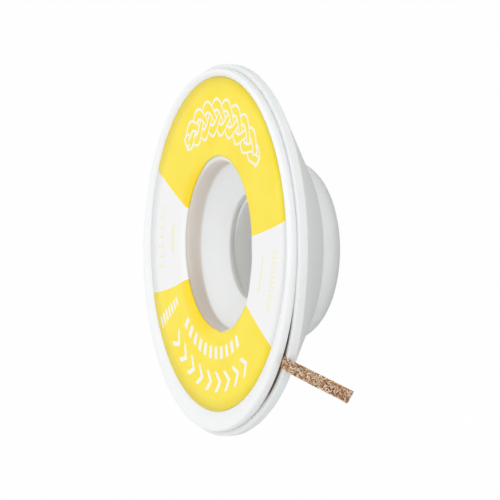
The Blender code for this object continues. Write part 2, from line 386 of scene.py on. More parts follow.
# %% Turned shapes
SEGMENTS = 256


def rounded(corners, steps=5):
    """Outline points from (radius, depth, cut) corners in mm. Each corner becomes a small curve."""
    points = []
    for number, (radius, depth, cut) in enumerate(corners):
        corner = Vector((radius, depth))
        if cut == 0:
            points.append(corner)
            continue
        before = Vector(corners[number - 1][:2]) - corner
        after = Vector(corners[(number + 1) % len(corners)][:2]) - corner
        start = corner + before.normalized() * min(cut, before.length * 0.49)
        end = corner + after.normalized() * min(cut, after.length * 0.49)
        for step in range(steps + 1):
            t = step / steps
            points.append(start * (1 - t) ** 2 + corner * 2 * t * (1 - t) + end * t ** 2)
    return points


def turned(name, outline, centre_of, finish, bend=None):
    """Spin an outline (mm, as radius and depth) into a closed ring. centre_of gives the Y of a
    radius's centre, and bend a change of height at a place."""
    rings = []
    for number in range(SEGMENTS):
        angle = math.tau * number / SEGMENTS
        way = Vector((math.cos(angle), math.sin(angle), 0))
        ring = []
        for radius, depth in outline:
            spot = way * radius * MM + Vector((0, centre_of(radius), FACE_HEIGHT - depth * MM))
            if bend:
                spot.z += bend(spot.x, spot.y)
            ring.append(spot)
        rings.append(ring)
    return closed_ring(name, rings, finish)


def closed_ring(name, rings, finish):
    """Skin a full turn of outlines and give the piece its finish."""
    bm = bmesh.new()
    rings = [[bm.verts.new(spot) for spot in ring] for ring in rings]
    for number, ring in enumerate(rings):
        before = rings[number - 1]
        for i in range(len(ring)):
            bm.faces.new((before[i - 1], before[i], ring[i], ring[i - 1]))
    bmesh.ops.recalc_face_normals(bm, faces=bm.faces)
    mesh = bpy.data.meshes.new(name)
    bm.to_mesh(mesh)
    bm.free()
    mesh.materials.append(finish)
    mesh.shade_smooth()
    print(f"{name}: {len(mesh.polygons) * 2} triangles")
    return into_scene(name, mesh)


SQUARE = ((0, 0, 0.1), (1, 0, 0.1), (1, 1, 0.1), (0, 1, 0.1))
print("a square with round corners has", len(rounded(SQUARE)), "outline points")

# %% [markdown]
# ## The nipped rim
# Where the braid comes out it is nipped between the rims, and the back half, whose wall
# is thin there, bends away to let it. The bend is a smooth swell over 70 degrees of the
# rim that fades to nothing down the cone. The flat front half stays as it is.

# %% Bend of the back rim
SEAM_OPENING = 0.34 * MM
OPEN_ANGLE = math.radians(-43)
OPEN_HALF_ANGLE = math.radians(35)
FLEX_RADIUS = 13.0 * MM
LEDGE = 19.3
LEDGE_RADIUS = LEDGE * MM


def rim_bend(x, y):
    """How far the back half's rim and cone are bent down at a place."""
    reach = (math.hypot(x, y) - FLEX_RADIUS) / (LEDGE_RADIUS - FLEX_RADIUS)
    reach = min(1.0, max(0.0, reach))
    turn = math.remainder(math.atan2(y, x) - OPEN_ANGLE, math.tau)
    if abs(turn) >= OPEN_HALF_ANGLE:
        return 0.0
    return -SEAM_OPENING * reach * math.cos(turn / OPEN_HALF_ANGLE * math.pi / 2) ** 2


print(f"back rim bent by {rim_bend(BACK_RADIUS * 0.73, -BACK_RADIUS * 0.68) * 1000:.2f} mm at the braid")

# %% [markdown]
# ## Front half
# One moulding: the disc with its raised lip round the label's seat, the wide hole with
# a soft edge, the funnel, the short bore, and the tube that the braid is wound on. The
# lip is true to the outside. All that lies inside it is half a millimetre off centre,
# so the ring of white outside the label is wider on one side than on the other.

# %% Front half
front_mm = FRONT_RADIUS * 1000
HOLE = 9.5
SEAT_DEPTH = 0.46
HOLE_SLOPE = 0.9
HOLE_DROP = 0.27
CORE_WALL = 0.6
SEAT_RADIUS = LABEL_RADIUS * 1000 + 0.04
CENTRES = ((0.0, HOLE_OFFSET), (12.0, HOLE_OFFSET), (SEAT_RADIUS, LABEL_CENTRE), (20.1, 0.0), (99.0, 0.0))


def front_centre(radius):
    """The edge is turned about the axis, the seat about the label's centre, the rest about the hole's."""
    for (low, first), (high, second) in zip(CENTRES, CENTRES[1:]):
        if radius <= high:
            return first + (second - first) * (radius - low) / (high - low)


front_outline = rounded([
    (HOLE, SEAT_DEPTH + 0.7, 0.2), (HOLE + 0.1, SEAT_DEPTH + HOLE_DROP, 0.14),
    (HOLE + HOLE_SLOPE, SEAT_DEPTH, 0.35), (SEAT_RADIUS, SEAT_DEPTH, 0.02),
    (SEAT_RADIUS + 0.03, 0.35, 0.03), (19.8, 0.0, 0.4), (front_mm, 0.0, 0.42),
    (front_mm - 0.09, 1.02, 0.01), (LEDGE, 1.02, 0.05),
    (HOLE + CORE_WALL, 1.5, 0.15), (HOLE + CORE_WALL, 7.2, 0.08), (HOLE, 7.2, 0.08),
    (HOLE, 3.33, 0.1), (BORE + 0.8, 5.02, 0.1), (BORE + 0.8, 5.1, 0.03),
    (BORE, 5.1, 0.02), (BORE, 4.6, 0.1), (HOLE, 2.4, 0.4)])
front_half = turned("front_half", front_outline, front_centre, front_plastic)

# %% [markdown]
# ## Back half
# The second moulding: a rim that stands out half a millimetre past the front one, the
# cone, a narrow shelf where the cone meets the hub, and a hub rounded so much that its
# end is almost a dome. Inside, a peg tube runs up to the front half's funnel.

# %% Back half
back_mm = BACK_RADIUS * 1000
height_mm = FACE_HEIGHT * 1000
WALL = 0.9
HUB_FLAT = 6.8
HUB_ROUND = 3.7
HUB_RISE = 3.9
HUB = HUB_FLAT + HUB_ROUND
HUB_ARC = 12
back_outline = rounded([
    (LEDGE, 1.03, 0.05), (back_mm, 1.03, 0.12), (back_mm - 0.07, 2.08, 0.12), (back_mm - 0.3, 2.24, 0.08),
    (11.3, 8.4, 0.12), (HUB, 8.4, 0.14)])
for step in range(1, HUB_ARC + 1):
    angle = math.pi / 2 * step / HUB_ARC
    back_outline.append(Vector((HUB_FLAT + HUB_ROUND * math.cos(angle),
                                height_mm - HUB_RISE + HUB_RISE * math.sin(angle))))
back_outline += rounded([
    (BORE, height_mm, 0.0), (BORE, 5.12, 0.02), (7.0, 5.12, 0.03), (7.0, height_mm - WALL, 0.3),
    (HUB - WALL, height_mm - WALL, 2.2), (HUB - WALL, 7.5, 0.15), (11.03, 7.5, 0.2), (LEDGE, 2.06, 0.2)])
back_half = turned("back_half", back_outline, lambda radius: 0.0, back_plastic, rim_bend)

# %% [markdown]
# ## Label
# A die-cut ring of printed film, stuck slightly high on the disc. Its print is all
# circles and angles, so it is drawn in the shader from round coordinates and stays
# sharp at any size: yellow above and below, two white fields, and plain motifs. A plait
# stands for the braid, chevrons point round the ring, and tick marks tell of length.

# %% Print helpers
INK_EDGE = 0.03
END_EDGE = 0.1


def within(value, half, soft=INK_EDGE):
    """1 where the value lies within plus or minus half, with a soft edge."""
    return inverse(ramp(size_of(value), half - soft, half + soft))


def cells(turn, radius, step):
    """Distance in mm along the arc from the middle of each repeated cell of step degrees."""
    return times(calc("RADIANS", calc("WRAP", turn, step / 2, -step / 2)), radius)


def field(angle, slant, centre, half):
    """White field between two borders. Both its centre and half width lean as slant grows."""
    turn = off(angle, plus(times(slant, centre[1]), centre[0]))
    beyond = minus(size_of(turn), times(slant, half[1]))
    return inverse(ramp(beyond, half[0] - 0.12, half[0] + 0.12))


print(f"ink fades out over {2 * INK_EDGE} mm, and at a motif's ends over {2 * END_EDGE} degrees")

# %% [markdown]
# ## Motifs
# Each motif is a mask over the ring's radius and the turn from its own middle. Marks
# that repeat wrap the turn into cells first, so one mark is drawn again and again. The
# plait is three sine waves a third of a wave apart. Where two strands cross, the one
# whose level is higher covers the other, which is all that weaving is.

# %% Motifs of the print
def chevrons(radius, turn, middle, reach, step, half, line):
    """Arrowheads along an arc, all pointing the same way round."""
    across = size_of(minus(radius, middle))
    along = plus(cells(turn, middle, step), across)
    return times(within(minus(along, half / 2), line), within(across, half),
                 within(turn, reach, END_EDGE))


def ticks(radius, turn, middle, reach, step, half, line):
    """Short radial marks along an arc."""
    return times(within(cells(turn, middle, step), line), within(minus(radius, middle), half),
                 within(turn, reach, END_EDGE))


def ladder(radius, turn, middle, reach, step, half, line):
    """A row of short dashes that runs outwards along a radius."""
    across = minus(radius, middle)
    rung = calc("WRAP", across, step / 2, -step / 2)
    return times(within(rung, line), within(across, reach), within(turn, half, END_EDGE))


def arc_line(radius, turn, middle, reach, line):
    """A thin line round part of the ring."""
    return times(within(minus(radius, middle), line), within(turn, reach, END_EDGE))


def plait(radius, turn, middle, reach, swing, wave, width, line):
    """White outline of a three-strand plait that runs round the ring and closes at its ends."""
    drawn, highest, cloth = 0.0, -2.0, 0.0
    across = minus(radius, middle)
    end_share = calc("POWER", divided(size_of(turn), reach), 5.0)
    sway = times(calc("MAXIMUM", inverse(end_share), 0.0), swing)
    for strand in range(3):
        phase = plus(times(turn, math.tau / wave), strand * math.tau / 3)
        distance = minus(across, times(calc("SINE", phase), sway))
        body = within(distance, width)
        edge = minus(body, within(distance, width - line))
        level = calc("SINE", times(phase, 2.0))
        above = times(body, calc("GREATER_THAN", level, highest))
        drawn = plus(times(drawn, inverse(above)), times(edge, above))
        highest = plus(times(highest, inverse(above)), times(level, above))
        cloth = either(cloth, body)
    cap = inverse(within(turn, reach - math.degrees(line / middle), END_EDGE))
    return times(either(drawn, times(cloth, cap)), within(turn, reach, END_EDGE))


print("motifs: chevrons, ticks, ladder, arc_line, plait")

# %% [markdown]
# ## The label's finish
# The motifs are laid out round the ring: a large one above, rows below, and small pale
# marks on the white fields. The ink is a little uneven, as cheap printing is, and a
# deeper, more orange yellow near the hole on its far side. Under it lies the fibre of the
# film, which breaks the gloss and gives the faintest bump.

# %% Material: printed label
YELLOW = (0.985, 0.805, 0.050)
DEEP_YELLOW = (0.97, 0.765, 0.025)
FAR_HOLE_YELLOW = (0.96, 0.70, 0.002)
PAPER = (0.90, 0.90, 0.91)
WHITE_INK = (0.93, 0.92, 0.88)
FAINT_INK = (0.90, 0.85, 0.54)
HOLE_EDGE = 9.9


def label_print():
    """The whole print, drawn from round coordinates about the label's own centre."""
    finish, tree, shader = new_material("label_print", IOR=1.5, Specular_IOR_Level=0.35)
    ring = use_group(tree, round_group, {"Centre Y": LABEL_CENTRE * 1000})
    radius, angle = ring["Radius"], ring["Angle"]
    reach = LABEL_RADIUS * 1000
    slant = divided(minus(reach, radius), reach - HOLE_EDGE)
    white_fields = either(field(angle, slant, (175.5, 4.3), (21.8, 2.8)),
                          field(angle, slant, (-14.7, -2.9), (22.6, 0.3)))
    left, right = off(angle, 177.3), off(angle, -15.5)
    top, bottom = off(angle, 84.0), off(angle, -98.0)
    ink = either(
        plait(radius, top, 14.3, 45.0, 1.45, 30.0, 0.78, 0.30),
        chevrons(radius, bottom, 15.6, 41.8, 9.3, 1.15, 0.36),
        ticks(radius, bottom, 12.3, 38.5, 7.0, 0.70, 0.36),
        ladder(radius, off(angle, -150.0), 15.5, 2.6, 0.8, 2.3, 0.22))
    faint = either(
        arc_line(radius, left, 15.3, 14.0, 0.08), ticks(radius, left, 16.0, 14.0, 4.0, 0.6, 0.10),
        arc_line(radius, right, 15.3, 13.0, 0.08), ticks(radius, right, 15.9, 13.0, 2.0, 0.45, 0.09),
        arc_line(radius, right, 12.6, 10.0, 0.18), arc_line(radius, left, 12.6, 7.0, 0.30))
    place = add(tree, "ShaderNodeTexCoord").outputs["Object"]
    fibre = noise(place, 2600.0, 4.0)
    density = noise(place, 240.0, 2.0)
    yellow = blend_colour(ramp(density, 0.35, 0.75), YELLOW, DEEP_YELLOW)
    near_hole = inverse(ramp(radius, HOLE_EDGE, HOLE_EDGE + 1.8))
    far_side = inverse(ramp(size_of(off(angle, 190.0)), 55.0, 85.0))
    # A deeper, more orange yellow near the hole on its far side.
    yellow = blend_colour(times(near_hole, far_side), yellow, FAR_HOLE_YELLOW)
    base = blend_colour(white_fields, yellow, PAPER)
    base = blend_colour(times(faint, white_fields), base, FAINT_INK)
    base = blend_colour(ink, base, WHITE_INK)
    connect(shader.inputs, Base_Color=base, Roughness=ramp(fibre, -0.9, 2.2))
    link_bump(shader, fibre, 0.12, 0.00001)
    return finish


label_finish = label_print()
print("nodes that draw the print:", len(label_finish.node_tree.nodes))

# %% [markdown]
# ## The label's edge in the hole
# The label's hole was punched off centre and isn't quite round. On one side the film
# falls short of the moulded edge, on the other it creeps over it and is pressed down
# the slope. A few radii by angle say how far it reaches, and one helper blends them.

# %% Label
EDGE_RADII = ((0, 9.5), (30, 9.55), (45, 9.75), (80, 9.95), (105, 9.85), (125, 9.66), (150, 9.62),
              (240, 9.62), (265, 9.68), (280, 10.1), (300, 10.35), (320, 10.4), (345, 9.8), (360, 9.5))
LABEL_SHEET = 0.1


def edge_radius(degrees):
    """Radius of the label's hole in a direction, blended smoothly between the listed ones."""
    for (low, first), (high, second) in zip(EDGE_RADII, EDGE_RADII[1:]):
        if degrees <= high:
            share = (degrees - low) / (high - low)
            return first + (second - first) * share * share * (3 - 2 * share)


def pressed_down(x, y):
    """How far the label is pressed down the slope of the hole's edge, where it creeps in."""
    inside = HOLE + HOLE_SLOPE - math.hypot(x, y - HOLE_OFFSET) / MM
    turn = abs(math.remainder(math.atan2(y - HOLE_OFFSET, x) - math.radians(190), math.tau))
    side = min(1.0, max(0.0, (math.radians(88) - turn) / math.radians(20)))
    return -max(0.0, inside) / HOLE_SLOPE * (HOLE_DROP + 0.03) * side * MM


label_top = LABEL_DEPTH * 1000
label_rings = (0.0, 0.03, 0.06, 0.09, 0.13, 0.2, 0.4, 0.6, 0.8, 1.0)
rings = []
for number in range(SEGMENTS):
    degrees = 360 * number / SEGMENTS
    way = Vector((math.cos(math.radians(degrees)), math.sin(math.radians(degrees)), 0))
    inner, outer = edge_radius(degrees), LABEL_RADIUS * 1000
    ring = []
    for depth, shares in ((label_top, label_rings), (label_top + LABEL_SHEET, label_rings[::-1])):
        for share in shares:
            spot = way * (inner + (outer - inner) * share) * MM
            spot += Vector((0, LABEL_CENTRE, FACE_HEIGHT - depth * MM))
            spot.z += pressed_down(spot.x, spot.y)
            ring.append(spot)
    rings.append(ring)
ring_label = closed_ring("ring_label", rings, label_finish)

# %% [markdown]
# ## Copper
# The braid is drawn copper wire, bright and pinkish where it rubs, browner where flux
# and air have reached it. One group gives that tone from the object's coordinates, and
# both the free end and the winding use it.

# %% Shader group: drawn copper
copper_group, given, result = new_group(
    "drawn_copper", {"Patch Size": 0.6, "Tarnish": 0.5}, {"Colour": "Color", "Roughness": "Float"})
place = add(copper_group, "ShaderNodeTexCoord").outputs["Object"]
patch_scale = divided(1000.0, given["Patch Size"])
patch = noise(place, patch_scale, 3.0)
fine = noise(place, 9000.0, 2.0)
bright = blend_colour(ramp(fine, 0.35, 0.65), (0.66, 0.36, 0.19), (0.90, 0.61, 0.375))
worn = times(ramp(patch, 0.45, 0.7), given["Tarnish"])
colour = blend_colour(worn, bright, (0.36, 0.18, 0.08))
connect(result, Colour=colour, Roughness=plus(0.26, times(worn, 0.3)))

# %% [markdown]
# ## The wires' finish
# In the free end each wire is real geometry, and two numbers stored on it say how it
# differs from its neighbours: a tone for the whole wire, and a noise that comes and goes
# along its bundle. Where that noise is low, painted shade stands for a dark gap between
# wires; where it is high, a painted highlight stands for a glint.

# %% Material: copper wire
wire_copper, tree, shader = new_material("wire_copper", Metallic=1.0)
copper = use_group(tree, copper_group, {"Patch Size": 0.5, "Tarnish": 0.55})
tone = stored_number(tree, "wire_tone")
painted_light_level = stored_number(tree, "painted_highlight_and_shade")
shade = blend_colour(times(tone, 0.5), copper["Colour"], (0.36, 0.20, 0.11))
# Painted shade between wires where the noise is low, and a painted highlight where it is high.
shade = blend_colour(inverse(ramp(painted_light_level, 0.34, 0.47)), shade, (0.16, 0.07, 0.03))
shade = blend_colour(ramp(painted_light_level, 0.52, 0.62), shade, (1.0, 0.90, 0.74))
connect(shader.inputs, Base_Color=shade, Roughness=copper["Roughness"])

# %% [markdown]
# ## The free end's route
# The braid leaves the outer turn of the winding, rolls over from standing to lying
# flat so that it fits the seam, and comes out over the ledge in a short, slightly
# drooping end. The route has the same points as the solid: two smooth Bezier pieces.
# Each station also carries the braid's width direction, because a ribbon needs one.

# %% Route of the free end
BRAID_WIDTH = 1.5 * MM
BRAID_THICKNESS = 0.3 * MM
COIL_RADIUS = 10.4 * MM
COIL_OUTSIDE = spread("braid_coil", 0)[0] / 2
COIL_DEPTH = 1.8 * MM
SEAM_DEPTH = 1.21 * MM
LEAVE_ANGLE = math.radians(-80)
EXIT_ANGLE = math.radians(-37.2)
TAIL_HEADING = math.radians(-23.5)
TAIL_DROP = math.radians(24)
TAIL_LENGTH = 10.42 * MM
TAIL_BEND = 1.0 * MM
TAIL_ROLL = math.radians(25)
TWIST_SHARE = 0.7
ROUTE_STEPS = 60


def around(centre_y, radius, angle, depth):
    """A point on a circle about a vertical axis."""
    return Vector((radius * math.cos(angle), centre_y + radius * math.sin(angle), FACE_HEIGHT - depth))


def tail_route():
    """Stations of the free end: centre, width direction and thickness direction."""
    leave_radius = COIL_OUTSIDE + 0.3 * MM + BRAID_THICKNESS / 2
    leave = around(HOLE_OFFSET, leave_radius, LEAVE_ANGLE, COIL_DEPTH + BRAID_WIDTH / 2)
    leave_way = Vector((-math.sin(LEAVE_ANGLE), math.cos(LEAVE_ANGLE), 0))
    out = around(0.0, FRONT_RADIUS, EXIT_ANGLE, SEAM_DEPTH)
    out_way = Vector((math.cos(TAIL_HEADING), math.sin(TAIL_HEADING), 0))
    free_way = out_way * math.cos(TAIL_DROP) - Vector((0, 0, math.sin(TAIL_DROP)))
    tip = out + free_way * TAIL_LENGTH
    third = (out - leave).length / 3
    inside = interpolate_bezier(leave, leave + leave_way * third, out - out_way * third, out,
                                ROUTE_STEPS + 1)
    free = interpolate_bezier(out, out + out_way * TAIL_BEND, tip - free_way * TAIL_LENGTH / 2, tip,
                              ROUTE_STEPS + 1)
    centres = inside[:-1] + free
    stations = []
    for number, centre in enumerate(centres):
        along = (centres[min(number + 1, len(centres) - 1)] - centres[max(number - 1, 0)]).normalized()
        if number < ROUTE_STEPS:
            share = min(1, number / (TWIST_SHARE * ROUTE_STEPS))
            turn = math.pi / 2 * (1 + math.cos(math.pi * share)) / 2
        else:
            turn = TAIL_ROLL * (number - ROUTE_STEPS) / ROUTE_STEPS
        side = along.cross(Vector((0, 0, 1))).normalized()
        rise = side.cross(along)
        across = side * math.cos(turn) + rise * math.sin(turn)
        stations.append((centre, across, across.cross(along)))
    return stations


stations = tail_route()
route_length = sum((b[0] - a[0]).length for a, b in zip(stations, stations[1:]))
route_mesh = bpy.data.meshes.new("braid_route")
route_mesh.from_pydata([s[0] for s in stations], [(i, i + 1) for i in range(len(stations) - 1)], [])
for label, column in (("across", 1), ("through", 2)):
    values = route_mesh.attributes.new(label, "FLOAT_VECTOR", "POINT")
    for number, station in enumerate(stations):
        values.data[number].vector = station[column]
free_end = into_scene("braid_free_end", route_mesh)
print(f"route {route_length * 1000:.1f} mm in {len(stations)} stations")

# %% [markdown]
# ## Weaving the braid
# The real braid is a woven tube pressed flat: bundles of fine wires run round it both
# ways and pass over and under each other. That is a rule, so Geometry Nodes weave it.
# First come the helpers that both trees of this lesson need. A tree ends by making its
# instances real and giving them their material, because instances can't be exported.

# %% Geometry tree helpers
def geometry_tree(name, inputs):
    """A geometry node tree with named inputs. Returns the tree, its inputs and its outputs."""
    tree = bpy.data.node_groups.new(name, "GeometryNodeTree")
    for label, kind in {"Geometry": "Geometry", **inputs}.items():
        tree.interface.new_socket(name=label, in_out="INPUT", socket_type="NodeSocket" + kind)
    tree.interface.new_socket(name="Geometry", in_out="OUTPUT", socket_type="NodeSocketGeometry")
    return tree, tree.nodes.new("NodeGroupInput").outputs, tree.nodes.new("NodeGroupOutput").inputs


def store(geometry, name, value):
    """Keep a number on every point under a name."""
    return output(geometry.id_data, "GeometryNodeStoreNamedAttribute",
                  {"Geometry": geometry, "Name": name, "Value": value}, data_type="FLOAT", domain="POINT")


def end_tree(geometry, material, result):
    """Make everything real mesh with its material, and hand it out of the tree."""
    tree = geometry.id_data
    real = output(tree, "GeometryNodeRealizeInstances", {"Geometry": geometry})
    dressed = output(tree, "GeometryNodeSetMaterial", {"Geometry": real, "Material": material})
    connect(result, Geometry=dressed)
    print(f"tree {tree.name}: {len(tree.nodes)} nodes")


def run_tree(piece, tree, values):
    """Put the tree on the piece, set its inputs by identifier, and keep the result as a plain mesh."""
    modifier = piece.modifiers.new(tree.name, "NODES")
    modifier.node_group = tree
    for socket in tree.interface.items_tree:
        if socket.in_out == "INPUT" and socket.name in values:
            modifier[socket.identifier] = values[socket.name]
    bpy.context.view_layer.update()
    made = bpy.data.meshes.new_from_object(piece.evaluated_get(bpy.context.evaluated_depsgraph_get()))
    made.name = piece.name
    piece.modifiers.remove(modifier)
    piece.data = made
    print(f"{piece.name}: {sum(len(p.vertices) - 2 for p in made.polygons)} triangles")


print("helpers for geometry: geometry_tree, store, end_tree, run_tree")

# %% [markdown]
# ## Straight rows of points
# Every wire starts as a straight row of points along X, all of them on one spot. Each
# row carries its number, stored before the rows become real, and everything else about
# a wire follows from that number.

# %% Geometry nodes: rows of points
weave, given, result = geometry_tree("woven_braid", {
    "Length": "Float", "Width": "Float", "Half Depth": "Float", "Bundles": "Int", "Wires": "Int",
    "Wire Diameter": "Float", "Lay": "Float", "Weave Lift": "Float", "Samples": "Int",
    "Splay": "Float", "Fray": "Float", "Slant": "Float", "Seed": "Int", "Material": "Material"})

each_way = times(given["Bundles"], given["Wires"])
starts = output(weave, "GeometryNodePoints", {"Count": times(each_way, 2.0)})
numbered = store(starts, "wire", output(weave, "GeometryNodeInputIndex"))
gap = divided(given["Length"], minus(given["Samples"], 1.0))
step = output(weave, "ShaderNodeCombineXYZ", {0: gap})
row = output(weave, "GeometryNodeMeshLine", {"Count": given["Samples"], "Offset": step})
rows = output(weave, "GeometryNodeInstanceOnPoints", {"Points": numbered, "Instance": row})
rows = output(weave, "GeometryNodeRealizeInstances", {"Geometry": rows})
print("named inputs:", len(weave.interface.items_tree) - 1)

# %% [markdown]
# ## Across the ribbon
# A wire winds round the flat tube, so it sweeps from edge to edge and back as it travels
# along. The arcsine makes the sweep even, as on a pressed tube, and rounds it only at the
# edges. The cosine lifts the wire over one crossing bundle and under the next.

# %% Geometry nodes: across the ribbon
WIRE_SPACING = 1.2
EVENNESS = 0.97
EDGE_ROUND = 0.08

wire = output(weave, "GeometryNodeInputNamedAttribute", {"Name": "wire"}, data_type="FLOAT")
travel = output(weave, "ShaderNodeSeparateXYZ", {0: output(weave, "GeometryNodeInputPosition")})
winds_back = calc("GREATER_THAN", wire, minus(each_way, 0.5))
way_round = inverse(times(winds_back, 2.0))
bundle = calc("FLOOR", divided(plus(wire, 0.5), given["Wires"]))
middle_wire = divided(minus(given["Wires"], 1.0), 2.0)
place_in_bundle = minus(wire, times(bundle, given["Wires"]), middle_wire)
girth = times(given["Width"], 2.0)
side_step = divided(times(place_in_bundle, given["Wire Diameter"], WIRE_SPACING), girth)
turns = plus(divided(bundle, given["Bundles"]), times(way_round, divided(travel, given["Lay"])))
theta = times(plus(turns, side_step), math.tau)

sweep = divided(calc("ARCSINE", times(calc("SINE", theta), EVENNESS)), math.asin(EVENNESS))
half_width = minus(divided(given["Width"], 2.0), divided(given["Wire Diameter"], 2.0))
crossing = divided(given["Lay"], times(given["Bundles"], 2.0))
over = times(way_round, calc("COSINE", times(divided(travel, crossing), math.pi)))
depth = plus(given["Half Depth"], times(over, given["Weave Lift"]))
cosine = calc("COSINE", theta)
side = divided(cosine, calc("SQRT", plus(times(cosine, cosine), EDGE_ROUND)))
print(f"with the place across: {len(weave.nodes)} nodes")

# %% [markdown]
# ## The cut tip
# The end was snipped with side cutters. Its last stretch spreads, the cut is slanted,
# and each wire ends at its own length. Chance decides how much, with a fixed seed, so
# every run gives the same braid. A slow noise keeps the wires from lying perfectly.

# %% Geometry nodes: cut tip
TIP_START = 0.965
WANDER_SEED = 7.0


def chance_of(seed):
    """A random number from 0 to 1 for each wire."""
    return add(weave, "FunctionNodeRandomValue", {"ID": wire, "Seed": seed}, data_type="FLOAT").outputs[1]


def noise_at(detail, *place):
    """Smooth noise at a place of two or three numbers."""
    where = output(weave, "ShaderNodeCombineXYZ", dict(enumerate(place)))
    return noise(where, 1.0, detail)


tip_share = ramp(travel, times(given["Length"], TIP_START), given["Length"])
chance = chance_of(given["Seed"])
wander = minus(chance_of(plus(given["Seed"], WANDER_SEED)), 0.5)
ragged = times(minus(chance, 0.5), given["Fray"])
cut = times(plus(ragged, times(sweep, given["Slant"])), tip_share)
ripple = noise_at(1.0, times(travel, 1800.0), times(wire, 3.7))
sway = times(minus(ripple, 0.5), times(given["Wire Diameter"], 0.9))
widen = plus(1.0, times(tip_share, given["Splay"]))
across = plus(times(sweep, half_width, widen), sway)
through = plus(times(depth, side), times(wander, given["Fray"], tip_share))
print(f"with the cut tip: {len(weave.nodes)} nodes")

# %% [markdown]
# ## Onto the route
# So far the braid is straight. Sample Curve finds the route's place and its two stored
# directions at each wire point's own length, and the point moves across and through
# from there.

# %% Geometry nodes: onto the route
route = output(weave, "GeometryNodeMeshToCurve", {"Mesh": given["Geometry"]})
reach = calc("MAXIMUM", plus(travel, cut), 0.0)


def on_route(name):
    """The route's place and one of its directions at each wire point's own length."""
    stored = output(weave, "GeometryNodeInputNamedAttribute", {"Name": name}, data_type="FLOAT_VECTOR")
    sample = add(weave, "GeometryNodeSampleCurve", {"Curves": route},
                 data_type="FLOAT_VECTOR", mode="LENGTH")
    weave.links.new(stored, next(s for s in sample.inputs if s.name == "Value" and s.enabled))
    weave.links.new(reach, next(s for s in sample.inputs if s.name == "Length"))
    return sample.outputs["Position"], next(s for s in sample.outputs if s.name == "Value" and s.enabled)


def moved(start, way, distance):
    """Go a distance from a place along a direction."""
    stride = output(weave, "ShaderNodeVectorMath", {0: way, "Scale": distance}, operation="SCALE")
    return output(weave, "ShaderNodeVectorMath", {0: start, 1: stride}, operation="ADD")


centre, across_way = on_route("across")
through_way = on_route("through")[1]
spot = moved(moved(centre, across_way, across), through_way, through)
woven = output(weave, "GeometryNodeSetPosition", {"Geometry": rows, "Position": spot})
print(f"with the route: {len(weave.nodes)} nodes")

# %% [markdown]
# ## Round wires
# The tone, and the noise for the painted highlight and painted shade, that the finish
# reads are stored on the points. Then a small circle is swept along every row. Five sides
# are enough, because a wire is thinner than a pixel, and the braid has sixty-four of them.

# %% Geometry nodes: round wires
woven = store(woven, "wire_tone", chance)
# Noise for the painted highlight and painted shade along each bundle.
painted_light_streak = noise_at(1.5, times(travel, 2600.0), times(bundle, 5.3), times(place_in_bundle, 2.9))
woven = store(woven, "painted_highlight_and_shade", painted_light_streak)
strands = output(weave, "GeometryNodeMeshToCurve", {"Mesh": woven})
section = output(weave, "GeometryNodeCurvePrimitiveCircle",
                 {"Resolution": 5, "Radius": divided(given["Wire Diameter"], 2.0)}, mode="RADIUS")
wires = output(weave, "GeometryNodeCurveToMesh",
               {"Curve": strands, "Profile Curve": section, "Fill Caps": True})
wires = output(weave, "GeometryNodeSetShadeSmooth", {"Geometry": wires})
end_tree(wires, given["Material"], result)

run_tree(free_end, weave, {
    "Length": route_length, "Width": BRAID_WIDTH, "Half Depth": 0.055 * MM, "Bundles": 8, "Wires": 4,
    "Wire Diameter": 0.075 * MM, "Lay": 6.0 * MM, "Weave Lift": 0.045 * MM, "Samples": 210,
    "Splay": 0.05, "Fray": 0.16 * MM, "Slant": -0.12 * MM, "Seed": 5, "Material": wire_copper})

# %% [markdown]
# ## The winding
# Behind the disc the braid lies in twenty turns, in three lanes side by side. Little
# of it shows, only a glint through the open seam. A spiral for each lane, swept with
# the ribbon's flat section, is enough. Length along and place across are kept as
# attributes, so that the woven look can follow every turn.

# %% Shader group: flat weave
weave_group, given, result = new_group(
    "flat_weave", {"Along": 0.0, "Across": 0.0, "Cell": 0.3}, {"Height": "Float", "Gap": "Float"})
first = divided(plus(given["Along"], given["Across"]), given["Cell"])
second = divided(minus(given["Along"], given["Across"]), given["Cell"])
parity = size_of(calc("MODULO", plus(calc("FLOOR", first), calc("FLOOR", second)), 2.0))
hump_a = size_of(calc("SINE", times(first, math.pi)))
hump_b = size_of(calc("SINE", times(second, math.pi)))
height = plus(times(hump_a, parity), times(hump_b, inverse(parity)))
# Gap marks where the weave's painted shade goes.
connect(result, Height=height, Gap=inverse(ramp(height, 0.0, 0.45)))

# %% [markdown]
# ## The winding's finish
# Here the weave is only a pattern: humps of copper with painted shade in the gaps between
# them. It reads the ribbon's own length and girth, so it never slides or stretches on the curve.

# %% Material: wound copper
wound_copper, tree, shader = new_material("wound_copper", Metallic=1.0)
copper = use_group(tree, copper_group, {"Patch Size": 0.9, "Tarnish": 0.6})
along = stored_number(tree, "along")
around_ribbon = stored_number(tree, "around")
cloth = use_group(tree, weave_group, {"Along": along, "Across": around_ribbon, "Cell": 0.3})
# Painted shade in the gaps between the woven humps.
shade = blend_colour(cloth["Gap"], copper["Colour"], (0.20, 0.09, 0.04))
connect(shader.inputs, Base_Color=shade, Roughness=copper["Roughness"])
link_bump(shader, cloth["Height"], 0.8, 0.00005)

# %% [markdown]
# ## One lane
# A lane is a flat spiral with the ribbon's section swept along it. The lengths along the
# spiral and round the section are stored first, because Curve to Mesh hands both on to
# the mesh that it makes.

# %% Geometry nodes: wound ribbon
SECTION_POINTS = 20
winding, given, result = geometry_tree("wound_ribbon", {
    "Turns": "Float", "Inner Radius": "Float", "Pitch": "Float", "Width": "Float", "Thickness": "Float",
    "Steps": "Int", "Material": "Material"})


def length_in_mm():
    """Length along whichever curve reads it."""
    return times(add(winding, "GeometryNodeSplineParameter").outputs["Length"], 1000.0)


